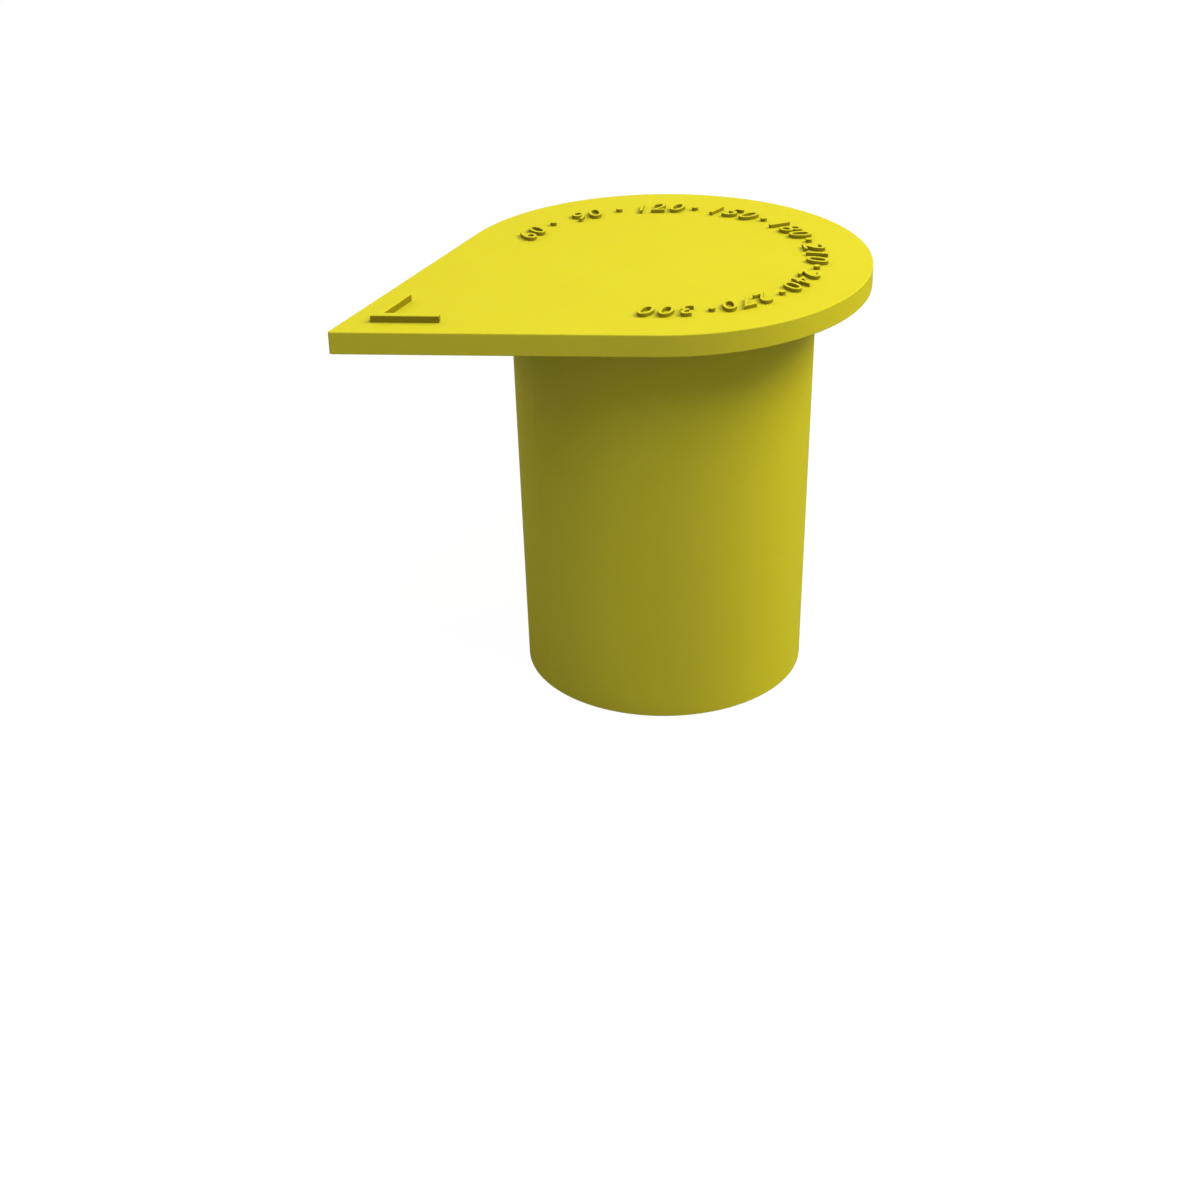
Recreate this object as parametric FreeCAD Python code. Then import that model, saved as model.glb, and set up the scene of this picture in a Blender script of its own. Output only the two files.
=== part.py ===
"""Loose wheel nut indicator: a moulded dust cap with a teardrop pointer plate, all in one piece.

The cup pushes over a hexagon wheel nut and its serrations bite the nut's corners, so the pointer
turns with the nut. Millimetres, +Z up. The origin is on the cup's axis at the mouth, the cup stands
on its mouth, and the pointer lies along +X.
"""

import FreeCAD, Part
import math
import os

# The hexagon that the cup grips
NUT_ACROSS_FLATS = 32.0

# Cup
CUP_HEIGHT = 57.45
MOUTH_WALL = 1.125
MOUTH_EDGE_CHAMFER = 0.1
OUTER_DRAFT_DEG = 0.92
CUP_ROOT_ROUND = 0.5
CAVITY_DRAFT_DEG = 0.25
CAVITY_TOP_CHAMFER = 1.2

# Serrations inside the cup
TOOTH_COUNT = 36
TOOTH_BITE = 0.05
TOOTH_CREST_WIDTH = 0.8
GROOVE_ROOT_WIDTH = 0.45
GROOVE_CORNER_CLEARANCE = 0.15

# Smooth bore at the mouth, which passes the hexagon's corners before the serrations take hold
LEAD_IN_DEPTH = 3.0
LEAD_IN_CORNER_CLEARANCE = 0.4
LEAD_IN_TAPER_DEG = 45.0

# Pointer plate
PLATE_THICKNESS = 3.0
PLATE_OVERHANG = 7.42
POINTER_LENGTH = 21.45
POINTER_TIP_RADIUS = 0.3
PLATE_EDGE_ROUND = 0.15

# Raised chevron near the pointer's tip
CHEVRON_SETBACK = 7.05
CHEVRON_LEG_LENGTH = 8.0
CHEVRON_LEG_WIDTH = 1.1
CHEVRON_RELIEF = 0.95
CHEVRON_TOP_ROUND = 0.15

# Raised dots of the turn scale, counted clockwise from the pointer
DOT_EDGE_SETBACK = 7.3
DOT_RADIUS = 0.45
DOT_RELIEF = 0.5
FIRST_DOT_DEG = 75.0
DOT_STEP_DEG = 30.0
DOT_COUNT = 8

# What follows from the driving dimensions
HEXAGON_CORNER_RADIUS = NUT_ACROSS_FLATS / math.sqrt(3)
TOOTH_PITCH_DEG = 360.0 / TOOTH_COUNT
GROOVE_ROOT_RADIUS = HEXAGON_CORNER_RADIUS + GROOVE_CORNER_CLEARANCE
LEAD_IN_RADIUS = HEXAGON_CORNER_RADIUS + LEAD_IN_CORNER_CLEARANCE
MOUTH_OUTER_RADIUS = LEAD_IN_RADIUS + MOUTH_WALL
CUP_ROOT_RADIUS = MOUTH_OUTER_RADIUS + CUP_HEIGHT * math.tan(math.radians(OUTER_DRAFT_DEG))
PLATE_RADIUS = CUP_ROOT_RADIUS + PLATE_OVERHANG
PLATE_TOP = CUP_HEIGHT + PLATE_THICKNESS
POINTER_REACH = PLATE_RADIUS + POINTER_LENGTH
POINTER_HALF_ANGLE = math.asin(PLATE_RADIUS / POINTER_REACH)

AXIS_FOOT = FreeCAD.Vector(0, 0, 0)
UP = FreeCAD.Vector(0, 0, 1)


def hexagon_side_radius(from_corner_deg):
    """Distance from the axis to the hexagon's side, at an angle away from one of its corners."""
    return NUT_ACROSS_FLATS / 2 / math.cos(math.radians(30.0 - from_corner_deg))


# With a corner in a groove, the teeth on either side of it press into the hexagon by the bite.
TOOTH_CREST_RADIUS = hexagon_side_radius(TOOTH_PITCH_DEG / 2) - TOOTH_BITE


def polar(radius, angle_deg, z=0.0):
    """The point at a radius and an angle about the cup's axis."""
    angle = math.radians(angle_deg)
    return FreeCAD.Vector(radius * math.cos(angle), radius * math.sin(angle), z)


def circles_at(shape, z, radius):
    """The edges of a shape that lie on one level circle about the cup's axis."""
    return [
        edge
        for edge in shape.Edges
        if isinstance(edge.Curve, Part.Circle)
        and abs(edge.BoundBox.ZMin - z) < 1e-4
        and abs(edge.BoundBox.ZMax - z) < 1e-4
        and abs(edge.Curve.Radius - radius) < 1e-4
    ]


def closed_wire(curves):
    """One wire from curves that follow each other."""
    return Part.Wire([curve.toShape() for curve in curves])


def teardrop(z):
    """The plate's outline: a round end, two sides tangent to it and a small round at the tip."""
    side_deg = 90.0 - math.degrees(POINTER_HALF_ANGLE)
    tip_centre_x = POINTER_REACH - POINTER_TIP_RADIUS / math.sin(POINTER_HALF_ANGLE)
    tip_centre = FreeCAD.Vector(tip_centre_x, 0, 0)
    left_end = polar(PLATE_RADIUS, side_deg, z)
    right_end = polar(PLATE_RADIUS, -side_deg, z)
    tip_left = tip_centre + polar(POINTER_TIP_RADIUS, side_deg, z)
    tip_right = tip_centre + polar(POINTER_TIP_RADIUS, -side_deg, z)
    return closed_wire(
        [
            Part.Arc(left_end, polar(PLATE_RADIUS, 180.0, z), right_end),
            Part.LineSegment(right_end, tip_right),
            Part.Arc(tip_right, tip_centre + polar(POINTER_TIP_RADIUS, 0.0, z), tip_left),
            Part.LineSegment(tip_left, left_end),
        ]
    )


def pointer_plate():
    """The flat teardrop plate on top of the cup, with its sharp edges broken."""
    plate = Part.Face(teardrop(CUP_HEIGHT)).extrude(UP * PLATE_THICKNESS)
    level_edges = [edge for edge in plate.Edges if edge.BoundBox.ZLength < 1e-6]
    return plate.makeFillet(PLATE_EDGE_ROUND, level_edges)


def solid_body():
    """The cup before its cavity, which narrows towards the mouth, joined to the plate."""
    cup = Part.makeCone(MOUTH_OUTER_RADIUS, CUP_ROOT_RADIUS, CUP_HEIGHT)
    body = cup.fuse(pointer_plate()).removeSplitter()
    body = body.makeFillet(CUP_ROOT_ROUND, circles_at(body, CUP_HEIGHT, CUP_ROOT_RADIUS))
    return body.makeChamfer(MOUTH_EDGE_CHAMFER, circles_at(body, 0.0, MOUTH_OUTER_RADIUS))


def core_shrink(z):
    """How far the draft has shrunk the serrated core at a height, as a factor of its foot."""
    return 1.0 - z * math.tan(math.radians(CAVITY_DRAFT_DEG)) / TOOTH_CREST_RADIUS


def serrated_section(z):
    """The corners of a level section of the serrations."""
    shrink = core_shrink(z)
    half_crest_deg = math.degrees(TOOTH_CREST_WIDTH / 2 / TOOTH_CREST_RADIUS)
    half_root_deg = math.degrees(GROOVE_ROOT_WIDTH / 2 / GROOVE_ROOT_RADIUS)
    corners = []
    for groove in range(TOOTH_COUNT):
        groove_deg = TOOTH_PITCH_DEG * groove
        crest_deg = groove_deg + TOOTH_PITCH_DEG / 2
        corners.append(polar(GROOVE_ROOT_RADIUS * shrink, groove_deg - half_root_deg, z))
        corners.append(polar(GROOVE_ROOT_RADIUS * shrink, groove_deg + half_root_deg, z))
        corners.append(polar(TOOTH_CREST_RADIUS * shrink, crest_deg - half_crest_deg, z))
        corners.append(polar(TOOTH_CREST_RADIUS * shrink, crest_deg + half_crest_deg, z))
    return corners


def serrated_core():
    """A tapered core whose flat flanks leave the teeth and grooves in the cup's wall."""
    foot = serrated_section(0.0)
    top = serrated_section(CUP_HEIGHT)
    count = len(foot)
    faces = [
        Part.Face(Part.makePolygon(foot + foot[:1])),
        Part.Face(Part.makePolygon(top + top[:1])),
    ]
    for index in range(count):
        following = (index + 1) % count
        flank = [foot[index], foot[following], top[following], top[index], foot[index]]
        faces.append(Part.Face(Part.makePolygon(flank)))
    return Part.Solid(Part.Shell(faces))


def turned_core():
    """A plug around the serrated core, whose bevel takes off the cavity's top corner."""
    bevel_foot = CUP_HEIGHT - CAVITY_TOP_CHAMFER
    bevel_radius = GROOVE_ROOT_RADIUS * core_shrink(bevel_foot)
    bevel = Part.makeCone(
        bevel_radius,
        bevel_radius - CAVITY_TOP_CHAMFER,
        CAVITY_TOP_CHAMFER,
        FreeCAD.Vector(0, 0, bevel_foot),
    )
    return Part.makeCylinder(MOUTH_OUTER_RADIUS, bevel_foot).fuse(bevel)


def cavity():
    """The space inside the cup: a smooth bore at the mouth, a taper and the serrations."""
    taper_run = LEAD_IN_RADIUS - TOOTH_CREST_RADIUS
    taper_height = taper_run / math.tan(math.radians(LEAD_IN_TAPER_DEG))
    lead_in_top = FreeCAD.Vector(0, 0, LEAD_IN_DEPTH)
    lead_in = Part.makeCylinder(LEAD_IN_RADIUS, LEAD_IN_DEPTH)
    taper = Part.makeCone(LEAD_IN_RADIUS, TOOTH_CREST_RADIUS, taper_height, lead_in_top)
    return serrated_core().common(turned_core()).fuse([lead_in, taper])


def chevron():
    """A raised arrowhead whose legs follow the two straight sides of the pointer."""
    half_width = CHEVRON_LEG_WIDTH / 2
    apex = FreeCAD.Vector(POINTER_REACH - CHEVRON_SETBACK, 0, 0)
    mitre = FreeCAD.Vector(half_width / math.sin(POINTER_HALF_ANGLE), 0, 0)
    leg_corners = []
    for side in (1.0, -1.0):
        sine = math.sin(POINTER_HALF_ANGLE)
        cosine = math.cos(POINTER_HALF_ANGLE)
        leg_end = apex + FreeCAD.Vector(-cosine, side * sine, 0) * CHEVRON_LEG_LENGTH
        across = FreeCAD.Vector(sine, side * cosine, 0) * half_width
        leg_corners.append((leg_end + across, leg_end - across))
    (left_outer, left_inner), (right_outer, right_inner) = leg_corners
    corners = [apex + mitre, left_outer, left_inner, apex - mitre, right_inner, right_outer]
    outline = Part.makePolygon(corners + corners[:1])
    raised = Part.Face(outline).extrude(UP * (PLATE_THICKNESS / 2 + CHEVRON_RELIEF))
    raised.translate(UP * (CUP_HEIGHT + PLATE_THICKNESS / 2))
    top = PLATE_TOP + CHEVRON_RELIEF
    top_edges = [edge for edge in raised.Edges if abs(edge.BoundBox.ZMin - top) < 1e-4]
    return raised.makeFillet(CHEVRON_TOP_ROUND, top_edges)


def scale_dots():
    """Small raised dots on a circle about the cup's axis, which start inside the plate."""
    foot = PLATE_TOP - PLATE_THICKNESS / 2
    dots = []
    for index in range(DOT_COUNT):
        turn_deg = FIRST_DOT_DEG + DOT_STEP_DEG * index
        place = polar(PLATE_RADIUS - DOT_EDGE_SETBACK, -turn_deg, foot)
        dots.append(Part.makeCylinder(DOT_RADIUS, PLATE_TOP + DOT_RELIEF - foot, place))
    return dots


def indicator_cap():
    """The whole indicator as one solid."""
    return solid_body().fuse([chevron()] + scale_dots()).cut(cavity()).Solids[0]


os.makedirs("parts", exist_ok=True)
indicator_cap().exportStep("parts/indicator_cap.step")
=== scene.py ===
"""Loose wheel nut indicator: the finish of its moulding, the numbers of its turn scale and the stage.

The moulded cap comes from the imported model. This adds its plastic, raises the numbers on the pointer
plate and lights it on a pale floor. Lengths are in metres.
"""

import math

import bpy
from mathutils import Matrix, Vector


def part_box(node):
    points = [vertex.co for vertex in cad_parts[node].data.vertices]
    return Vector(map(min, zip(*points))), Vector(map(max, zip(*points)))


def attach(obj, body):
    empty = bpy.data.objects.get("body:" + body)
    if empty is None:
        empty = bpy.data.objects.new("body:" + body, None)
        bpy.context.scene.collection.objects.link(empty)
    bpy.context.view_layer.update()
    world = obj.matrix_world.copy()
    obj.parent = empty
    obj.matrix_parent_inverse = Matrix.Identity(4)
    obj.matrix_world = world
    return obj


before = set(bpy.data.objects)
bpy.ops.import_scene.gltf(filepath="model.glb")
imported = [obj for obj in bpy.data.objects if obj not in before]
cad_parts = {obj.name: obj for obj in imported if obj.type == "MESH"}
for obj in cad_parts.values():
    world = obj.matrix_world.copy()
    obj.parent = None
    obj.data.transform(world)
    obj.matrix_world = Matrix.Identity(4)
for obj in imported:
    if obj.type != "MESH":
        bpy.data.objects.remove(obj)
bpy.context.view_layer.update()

bl_info = {
    "name": "Loose Wheel Nut Indicator",
    "version": (1, 0, 0),
    "blender": (4, 5, 0),
    "location": "View3D > Sidebar > Indicator",
    "description": "Finishes a moulded wheel nut indicator and sets it on a lit stage",
    "category": "Object",
}

MM = 0.001
CAP = "indicator_cap"
BODY = "root"

# The chevron stands highest, so the plate's flat top lies below the cap's box by its relief
CHEVRON_RELIEF = 0.95 * MM
PLATE_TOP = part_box(CAP)[1].z - CHEVRON_RELIEF

WHITE = (1.0, 1.0, 1.0)
BLACK = (0.0, 0.0, 0.0)

# Light through a yellow gel, which keeps the lit side of the plastic rich in colour
GEL_YELLOW = (1.0, 0.98, 0.05)

# What is the same all over the plastic, by the shader's own names
PLASTIC_BODY = {
    "Subsurface Weight": 0.08,
    "Subsurface Radius": (1.0, 0.8, 0.2),
    "Subsurface Scale": 0.6 * MM,
    "IOR": 1.5,
    "Specular IOR Level": 0.25,
}

# The usual middle range of a noise texture
NOISE_RANGE = (0.3, 0.7)

# Largest share of the deep colour in the pigment's clouds
CLOUD_SHARE = 0.6

# How far the skin's patches are smoother and rougher than its roughness
PATCH_SPREAD = (-0.03, 0.05)

# The painted flank shade is whole this far above the plate, and fades as a face's normal turns upwards
FLANK_SHADE_FADE = 0.03 * MM
FLANK_SHADE_NORMAL_RANGE = (0.3, 0.8)

FLOOR_ROUGHNESS = 0.8

# Height of a digit in the built-in font, as a share of the font's size
DIGIT_SHARE = 0.73

# Steps along the digits' curves and across their edge rounds
CURVE_STEPS = 6
EDGE_STEPS = 2

# Points of a digit that lie closer than this are one, and edges flatter than this look smooth
WELD_DISTANCE = 0.002 * MM
SMOOTH_ANGLE = math.radians(35.0)

# Soft boxes: turn from the camera's right away from the camera and height above the horizon in
# degrees, both seen from the cap, then power in watts and colour
SOFT_BOXES = {
    "key_light": (8.0, 45.0, 2.31, GEL_YELLOW),
    "fill_light": (-70.0, 60.0, 1.1, WHITE),
    "rim_light": (140.0, 35.0, 0.55, GEL_YELLOW),
}

# Camera sensor in millimetres, and the nearest thing that the camera sees
SENSOR_WIDTH = 36.0
CLIP_START = 10.0 * MM


class IndicatorPlastic(bpy.types.PropertyGroup):
    """The yellow plastic of the moulding."""

    colour: bpy.props.FloatVectorProperty(
        name="Colour",
        description="Colour of the plastic in full light",
        subtype="COLOR",
        size=3,
        min=0.0,
        max=1.0,
        default=(0.86, 0.77, 0.044),
    )
    deep_colour: bpy.props.FloatVectorProperty(
        name="Deep colour",
        description="Colour where the pigment lies a little denser",
        subtype="COLOR",
        size=3,
        min=0.0,
        max=1.0,
        default=(0.83, 0.735, 0.036),
    )
    cloud_size: bpy.props.FloatProperty(
        name="Cloud size",
        description="Width of the clouds where the pigment lies denser",
        subtype="DISTANCE",
        default=14.0 * MM,
    )
    # Painted shade: a darker colour on the raised figures' steep flanks, standing in for the shade that
    # falls on them
    flank_colour: bpy.props.FloatVectorProperty(
        name="Flank colour",
        description="Colour that holds on the steep flanks of the raised figures",
        subtype="COLOR",
        size=3,
        min=0.0,
        max=1.0,
        default=(0.42, 0.34, 0.01),
    )
    bounce_share: bpy.props.FloatProperty(
        name="Bounce share",
        description="Share of its colour that the plastic throws on the plastic beside it",
        min=0.0,
        max=1.0,
        default=0.2,
    )
    roughness: bpy.props.FloatProperty(
        name="Roughness",
        description="Roughness of the smooth moulded skin",
        min=0.0,
        max=1.0,
        default=0.58,
    )
    patch_size: bpy.props.FloatProperty(
        name="Patch size",
        description="Width of the skin's smoother and rougher patches",
        subtype="DISTANCE",
        default=3.0 * MM,
    )
    grain_size: bpy.props.FloatProperty(
        name="Grain size",
        description="Width of one grain of the mould's spark-eroded texture",
        subtype="DISTANCE",
        default=0.25 * MM,
    )
    grain_depth: bpy.props.FloatProperty(
        name="Grain depth",
        description="Depth of the mould's spark-eroded texture",
        subtype="DISTANCE",
        default=0.004 * MM,
    )


class IndicatorScale(bpy.types.PropertyGroup):
    """The raised numbers that count the turn in degrees, clockwise from the pointer."""

    first_number: bpy.props.IntProperty(
        name="First number",
        description="Turn in degrees at the first number",
        default=60,
    )
    number_step: bpy.props.IntProperty(
        name="Step",
        description="Turn in degrees from one number to the next",
        default=30,
    )
    number_count: bpy.props.IntProperty(
        name="Numbers",
        description="How many numbers the scale has",
        default=9,
    )
    baseline_radius: bpy.props.FloatProperty(
        name="Baseline radius",
        description="Radius of the circle that the digits stand on",
        subtype="DISTANCE",
        default=19.4 * MM,
    )
    digit_height: bpy.props.FloatProperty(
        name="Digit height",
        description="Height of a digit, from its baseline outwards",
        subtype="DISTANCE",
        default=3.1 * MM,
    )
    digit_stretch: bpy.props.FloatProperty(
        name="Digit stretch",
        description="Width of a digit as a share of its natural width",
        default=1.05,
    )
    digit_pitch: bpy.props.FloatProperty(
        name="Digit pitch",
        description="Angle from one digit of a number to the next",
        subtype="ANGLE",
        default=math.radians(7.1),
    )
    slant: bpy.props.FloatProperty(
        name="Slant",
        description="How far the digits lean forward",
        default=0.25,
    )
    relief: bpy.props.FloatProperty(
        name="Relief",
        description="How far the digits stand above the plate",
        subtype="DISTANCE",
        default=0.5 * MM,
    )
    rooted: bpy.props.FloatProperty(
        name="Rooted",
        description="How far the digits reach down into the plate",
        subtype="DISTANCE",
        default=0.2 * MM,
    )
    edge_round: bpy.props.FloatProperty(
        name="Edge round",
        description="Round on the digits' edges",
        subtype="DISTANCE",
        default=0.03 * MM,
    )


class IndicatorStage(bpy.types.PropertyGroup):
    """The floor, the lights and the camera."""

    floor_size: bpy.props.FloatProperty(
        name="Floor size",
        description="Length of the square floor's side",
        subtype="DISTANCE",
        default=6.0,
    )
    floor_colour: bpy.props.FloatVectorProperty(
        name="Floor colour",
        description="Colour of the floor's lit surface, which the plastic's shaded side picks up",
        subtype="COLOR",
        size=3,
        min=0.0,
        max=1.0,
        default=(0.25, 0.25, 0.4),
    )
    floor_glow: bpy.props.FloatProperty(
        name="Floor glow",
        description="How strongly the backlit floor shines towards the camera",
        default=0.97,
    )
    floor_glow_share: bpy.props.FloatProperty(
        name="Floor glow share",
        description="Share of what the camera sees of the floor that is glow and not lit surface",
        min=0.0,
        max=1.0,
        default=0.75,
    )
    sky_strength: bpy.props.FloatProperty(
        name="Sky strength",
        description="Strength of the even light from all round",
        default=0.234,
    )
    light_distance: bpy.props.FloatProperty(
        name="Light distance",
        description="Distance of the soft boxes from the cap",
        subtype="DISTANCE",
        default=0.6,
    )
    light_size: bpy.props.FloatProperty(
        name="Light size",
        description="Width of a soft box",
        subtype="DISTANCE",
        default=0.3,
    )
    light_gain: bpy.props.FloatProperty(
        name="Light gain",
        description="Factor on the power of every soft box",
        default=1.0,
    )
    camera_place: bpy.props.FloatVectorProperty(
        name="Camera place",
        description="Where the camera stands",
        subtype="TRANSLATION",
        size=3,
        default=(0.14706, 0.23359, 0.15747),
    )
    camera_heading: bpy.props.FloatProperty(
        name="Camera heading",
        description="Turn of the camera about the vertical",
        subtype="ANGLE",
        default=math.radians(149.76),
    )
    camera_pitch: bpy.props.FloatProperty(
        name="Camera pitch",
        description="How far the camera looks down",
        subtype="ANGLE",
        default=math.radians(28.45),
    )
    camera_roll: bpy.props.FloatProperty(
        name="Camera roll",
        description="Turn of the camera about its own line of sight",
        subtype="ANGLE",
        default=-0.0193,
    )
    lens: bpy.props.FloatProperty(
        name="Lens",
        description="Focal length in millimetres, on a sensor 36 mm wide",
        default=63.93,
    )


def clear_selection():
    """Deselects everything, so that an operator acts only on what is picked next."""
    bpy.ops.object.select_all(action="DESELECT")


def new_material(name):
    """An empty node material with a Principled shader, and that shader."""
    material = bpy.data.materials.new(name)
    material.use_nodes = True
    tree = material.node_tree
    tree.nodes.clear()
    output = tree.nodes.new("ShaderNodeOutputMaterial")
    shader = tree.nodes.new("ShaderNodeBsdfPrincipled")
    tree.links.new(shader.outputs["BSDF"], output.inputs["Surface"])
    return material, tree, shader


def noise(tree, vector, size, detail):
    """A noise texture whose features are about as wide as the given size."""
    node = tree.nodes.new("ShaderNodeTexNoise")
    node.inputs["Scale"].default_value = 1.0 / size
    node.inputs["Detail"].default_value = detail
    tree.links.new(vector, node.inputs["Vector"])
    return node.outputs["Fac"]


def remap(tree, value, source, target):
    """Maps a value from one range onto another, and holds it inside the second."""
    node = tree.nodes.new("ShaderNodeMapRange")
    node.inputs["From Min"].default_value, node.inputs["From Max"].default_value = source
    node.inputs["To Min"].default_value, node.inputs["To Max"].default_value = target
    tree.links.new(value, node.inputs["Value"])
    return node.outputs["Result"]


def product(tree, first, second):
    """The product of a node's value and either another node's value or a plain number."""
    node = tree.nodes.new("ShaderNodeMath")
    node.operation = "MULTIPLY"
    tree.links.new(first, node.inputs[0])
    if isinstance(second, float):
        node.inputs[1].default_value = second
    else:
        tree.links.new(second, node.inputs[1])
    return node.outputs["Value"]


def blend_colours(tree, share, first, second):
    """A colour between two, each of them a node's colour or a plain one."""
    node = tree.nodes.new("ShaderNodeMix")
    node.data_type = "RGBA"
    tree.links.new(share, node.inputs["Factor"])
    for name, colour in (("A", first), ("B", second)):
        if isinstance(colour, bpy.types.NodeSocket):
            tree.links.new(colour, node.inputs[name])
        else:
            node.inputs[name].default_value = (*colour, 1.0)
    return node.outputs["Result"]


def raised_flanks(tree, coordinates):
    """A mask of the steep flanks of what stands on the plate, where shade is painted into the colour."""
    place = tree.nodes.new("ShaderNodeSeparateXYZ")
    tree.links.new(coordinates.outputs["Object"], place.inputs["Vector"])
    above_plate = remap(tree, place.outputs["Z"], (PLATE_TOP, PLATE_TOP + FLANK_SHADE_FADE), (0.0, 1.0))
    facing = tree.nodes.new("ShaderNodeSeparateXYZ")
    tree.links.new(coordinates.outputs["Normal"], facing.inputs["Vector"])
    steep = remap(tree, facing.outputs["Z"], FLANK_SHADE_NORMAL_RANGE, (1.0, 0.0))
    return product(tree, above_plate, steep)


def pigment(tree, coordinates, settings):
    """The plastic's colour, with slight clouds, painted shade on the raised figures' steep flanks and
    little bounce.
    """
    clouds = noise(tree, coordinates.outputs["Object"], settings.cloud_size, detail=2.0)
    cloud_share = remap(tree, clouds, NOISE_RANGE, (0.0, CLOUD_SHARE))
    clouded = blend_colours(tree, cloud_share, settings.colour, settings.deep_colour)
    # Painted shade: the steep flanks of the raised figures take the darker flank colour
    flank_shaded = blend_colours(tree, raised_flanks(tree, coordinates), clouded, settings.flank_colour)
    ray = tree.nodes.new("ShaderNodeLightPath")
    held_back = product(tree, ray.outputs["Is Diffuse Ray"], 1.0 - settings.bounce_share)
    return blend_colours(tree, held_back, flank_shaded, BLACK)


def moulded_plastic(settings):
    """Satin yellow plastic with a fine mould grain."""
    material, tree, shader = new_material("moulded_yellow_plastic")
    coordinates = tree.nodes.new("ShaderNodeTexCoord")
    place = coordinates.outputs["Object"]
    tree.links.new(pigment(tree, coordinates, settings), shader.inputs["Base Color"])

    patches = noise(tree, place, settings.patch_size, detail=4.0)
    smoother, rougher = (settings.roughness + change for change in PATCH_SPREAD)
    rough = remap(tree, patches, NOISE_RANGE, (smoother, rougher))
    tree.links.new(rough, shader.inputs["Roughness"])

    bump = tree.nodes.new("ShaderNodeBump")
    bump.inputs["Distance"].default_value = settings.grain_depth
    tree.links.new(noise(tree, place, settings.grain_size, detail=3.0), bump.inputs["Height"])
    tree.links.new(bump.outputs["Normal"], shader.inputs["Normal"])

    for name, value in PLASTIC_BODY.items():
        shader.inputs[name].default_value = value
    return material


def floor_surface(settings):
    """A plain matt floor of backlit sheet, whose glow only the camera sees."""
    material, tree, shader = new_material("pale_floor")
    shader.inputs["Base Color"].default_value = (*settings.floor_colour, 1.0)
    shader.inputs["Roughness"].default_value = FLOOR_ROUGHNESS

    glow = tree.nodes.new("ShaderNodeEmission")
    glow.inputs["Strength"].default_value = settings.floor_glow / settings.floor_glow_share
    ray = tree.nodes.new("ShaderNodeLightPath")
    share = product(tree, ray.outputs["Is Camera Ray"], settings.floor_glow_share)
    blend = tree.nodes.new("ShaderNodeMixShader")
    tree.links.new(share, blend.inputs["Fac"])
    tree.links.new(shader.outputs["BSDF"], blend.inputs[1])
    tree.links.new(glow.outputs["Emission"], blend.inputs[2])
    output = tree.get_output_node("ALL")
    tree.links.new(blend.outputs["Shader"], output.inputs["Surface"])
    return material


def digit(settings, character, turn):
    """One raised digit, standing on the baseline circle at a clockwise turn from the pointer."""
    bpy.ops.object.text_add(location=(0.0, 0.0, 0.0))
    piece = bpy.context.object
    text = piece.data
    text.body = character
    text.align_x = "CENTER"
    text.size = settings.digit_height / DIGIT_SHARE
    text.shear = settings.slant
    text.resolution_u = CURVE_STEPS
    text.extrude = (settings.relief + settings.rooted) / 2
    text.bevel_depth = settings.edge_round
    text.bevel_resolution = EDGE_STEPS
    text.offset = -settings.edge_round
    bpy.ops.object.convert(target="MESH")
    outward = Vector((math.cos(-turn), math.sin(-turn), 0.0))
    middle = PLATE_TOP + (settings.relief - settings.rooted) / 2
    piece.location = outward * settings.baseline_radius + Vector((0.0, 0.0, middle))
    piece.rotation_euler = (0.0, 0.0, -turn - math.pi / 2)
    piece.scale = (settings.digit_stretch, 1.0, 1.0)
    return piece


def raised_number(settings, value):
    """One number of the scale as a single piece of closed digits."""
    characters = str(value)
    digits = []
    for index, character in enumerate(characters):
        offset = (index - (len(characters) - 1) / 2) * settings.digit_pitch
        digits.append(digit(settings, character, math.radians(value) + offset))
    clear_selection()
    for piece in digits:
        piece.select_set(True)
    bpy.context.view_layer.objects.active = digits[0]
    if len(digits) > 1:
        bpy.ops.object.join()
    bpy.ops.object.transform_apply(location=True, rotation=True, scale=True)
    bpy.ops.object.mode_set(mode="EDIT")
    bpy.ops.mesh.select_all(action="SELECT")
    bpy.ops.mesh.remove_doubles(threshold=WELD_DISTANCE)
    bpy.ops.mesh.normals_make_consistent(inside=False)
    bpy.ops.object.mode_set(mode="OBJECT")
    bpy.ops.object.shade_smooth_by_angle(angle=SMOOTH_ANGLE)
    number = bpy.context.object
    number.name = f"scale_number_{value}"
    return number


def lay_floor(settings):
    """A wide flat floor under the cap."""
    clear_selection()
    bpy.ops.mesh.primitive_plane_add(size=settings.floor_size)
    floor = bpy.context.object
    floor.name = "floor"
    floor.data.materials.append(floor_surface(settings))


def studio_world(settings):
    """Even light from all round, with a backdrop as pale as the floor where the camera sees it."""
    world = bpy.data.worlds.new("soft_sky")
    world.use_nodes = True
    tree = world.node_tree
    sky = tree.nodes["Background"]
    sky.inputs["Color"].default_value = (*WHITE, 1.0)
    sky.inputs["Strength"].default_value = settings.sky_strength
    backdrop = tree.nodes.new("ShaderNodeBackground")
    backdrop.inputs["Color"].default_value = (*WHITE, 1.0)
    backdrop.inputs["Strength"].default_value = settings.floor_glow
    ray = tree.nodes.new("ShaderNodeLightPath")
    blend = tree.nodes.new("ShaderNodeMixShader")
    tree.links.new(ray.outputs["Is Camera Ray"], blend.inputs["Fac"])
    tree.links.new(sky.outputs["Background"], blend.inputs[1])
    tree.links.new(backdrop.outputs["Background"], blend.inputs[2])
    tree.links.new(blend.outputs["Shader"], tree.get_output_node("ALL").inputs["Surface"])
    bpy.context.scene.world = world


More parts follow.
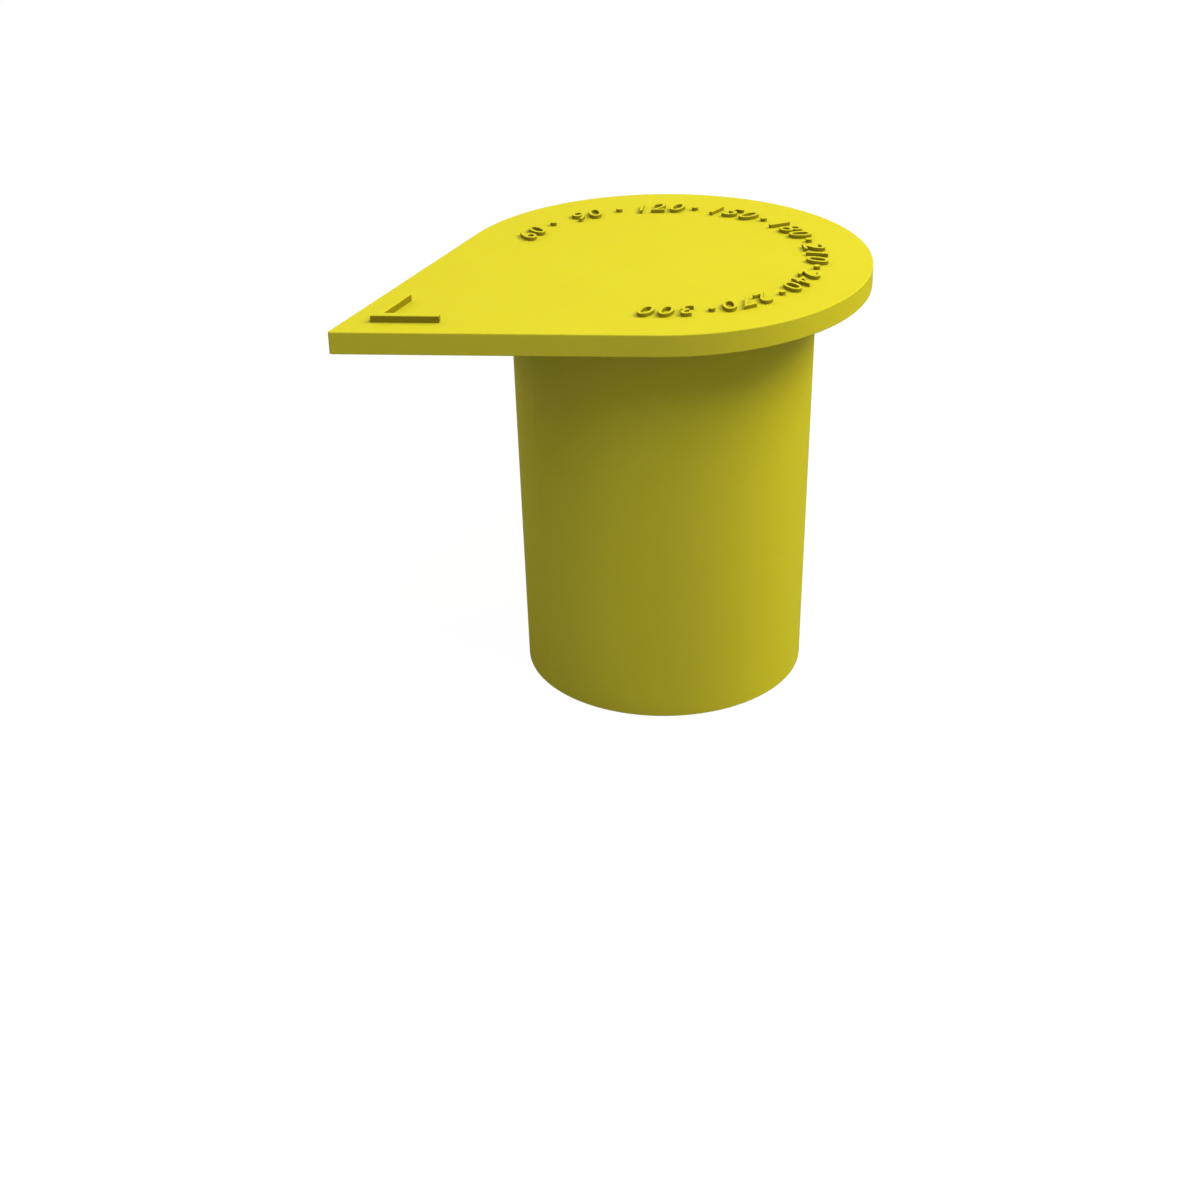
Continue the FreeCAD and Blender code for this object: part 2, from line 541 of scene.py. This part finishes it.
def soft_box(settings, name, turn_deg, height_deg, power, colour):
    """A square area light that faces the middle of the cap."""
    cap_middle = Vector((0.0, 0.0, PLATE_TOP / 2))
    turn = settings.camera_heading + math.radians(turn_deg)
    height = math.radians(height_deg)
    level = Vector((math.cos(turn), math.sin(turn), 0.0)) * math.cos(height)
    offset = (level + Vector((0.0, 0.0, math.sin(height)))) * settings.light_distance
    clear_selection()
    bpy.ops.object.light_add(type="AREA", location=cap_middle + offset)
    light = bpy.context.object
    light.name = name
    light.data.size = settings.light_size
    light.data.energy = power * settings.light_gain
    light.data.color = colour
    light.rotation_euler = (-offset).to_track_quat("-Z", "Y").to_euler()


def place_camera(settings):
    """A camera where the photograph was taken from."""
    turn = Matrix.Rotation(settings.camera_heading, 4, "Z")
    tilt = Matrix.Rotation(math.pi / 2 - settings.camera_pitch, 4, "X")
    roll = Matrix.Rotation(settings.camera_roll, 4, "Z")
    clear_selection()
    bpy.ops.object.camera_add(location=settings.camera_place)
    camera = bpy.context.object
    camera.name = "photo_camera"
    camera.rotation_euler = (turn @ tilt @ roll).to_euler()
    camera.data.lens = settings.lens
    camera.data.sensor_width = SENSOR_WIDTH
    camera.data.clip_start = CLIP_START
    bpy.context.scene.camera = camera


class INDICATOR_OT_finish_cap(bpy.types.Operator):
    """Gives the moulded cap its yellow plastic"""

    bl_idname = "indicator.finish_cap"
    bl_label = "Finish the cap"

    def execute(self, context):
        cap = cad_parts[CAP]
        cap.data.materials.clear()
        cap.data.materials.append(moulded_plastic(context.scene.indicator_plastic))
        return {"FINISHED"}


class INDICATOR_OT_raise_numbers(bpy.types.Operator):
    """Raises the numbers of the turn scale on the pointer plate"""

    bl_idname = "indicator.raise_numbers"
    bl_label = "Raise the numbers"

    def execute(self, context):
        settings = context.scene.indicator_scale
        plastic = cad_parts[CAP].data.materials[0]
        for index in range(settings.number_count):
            value = settings.first_number + index * settings.number_step
            number = raised_number(settings, value)
            number.data.materials.clear()
            number.data.materials.append(plastic)
            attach(number, BODY)
        return {"FINISHED"}


class INDICATOR_OT_set_stage(bpy.types.Operator):
    """Lays the floor, hangs the lights and sets up the camera"""

    bl_idname = "indicator.set_stage"
    bl_label = "Set the stage"

    def execute(self, context):
        settings = context.scene.indicator_stage
        context.scene.view_settings.view_transform = "Standard"
        lay_floor(settings)
        studio_world(settings)
        for name, facts in SOFT_BOXES.items():
            soft_box(settings, name, *facts)
        place_camera(settings)
        return {"FINISHED"}


# Each step with the name and the class of its settings, in the order in which they run
STEPS = (
    (INDICATOR_OT_finish_cap, "indicator_plastic", IndicatorPlastic),
    (INDICATOR_OT_raise_numbers, "indicator_scale", IndicatorScale),
    (INDICATOR_OT_set_stage, "indicator_stage", IndicatorStage),
)


class INDICATOR_PT_panel(bpy.types.Panel):
    """The steps that dress the indicator, each with its settings"""

    bl_idname = "INDICATOR_PT_panel"
    bl_label = "Wheel Nut Indicator"
    bl_space_type = "VIEW_3D"
    bl_region_type = "UI"
    bl_category = "Indicator"

    def draw(self, context):
        for step, settings_name, group in STEPS:
            box = self.layout.box()
            box.operator(step.bl_idname)
            for name in group.__annotations__:
                box.prop(getattr(context.scene, settings_name), name)


def register():
    for step, settings_name, group in STEPS:
        bpy.utils.register_class(group)
        setattr(bpy.types.Scene, settings_name, bpy.props.PointerProperty(type=group))
        bpy.utils.register_class(step)
    bpy.utils.register_class(INDICATOR_PT_panel)


def unregister():
    bpy.utils.unregister_class(INDICATOR_PT_panel)
    for step, settings_name, group in reversed(STEPS):
        bpy.utils.unregister_class(step)
        delattr(bpy.types.Scene, settings_name)
        bpy.utils.unregister_class(group)


def main():
    register()
    bpy.ops.indicator.finish_cap()
    bpy.ops.indicator.raise_numbers()
    bpy.ops.indicator.set_stage()


if __name__ == "__main__":
    main()
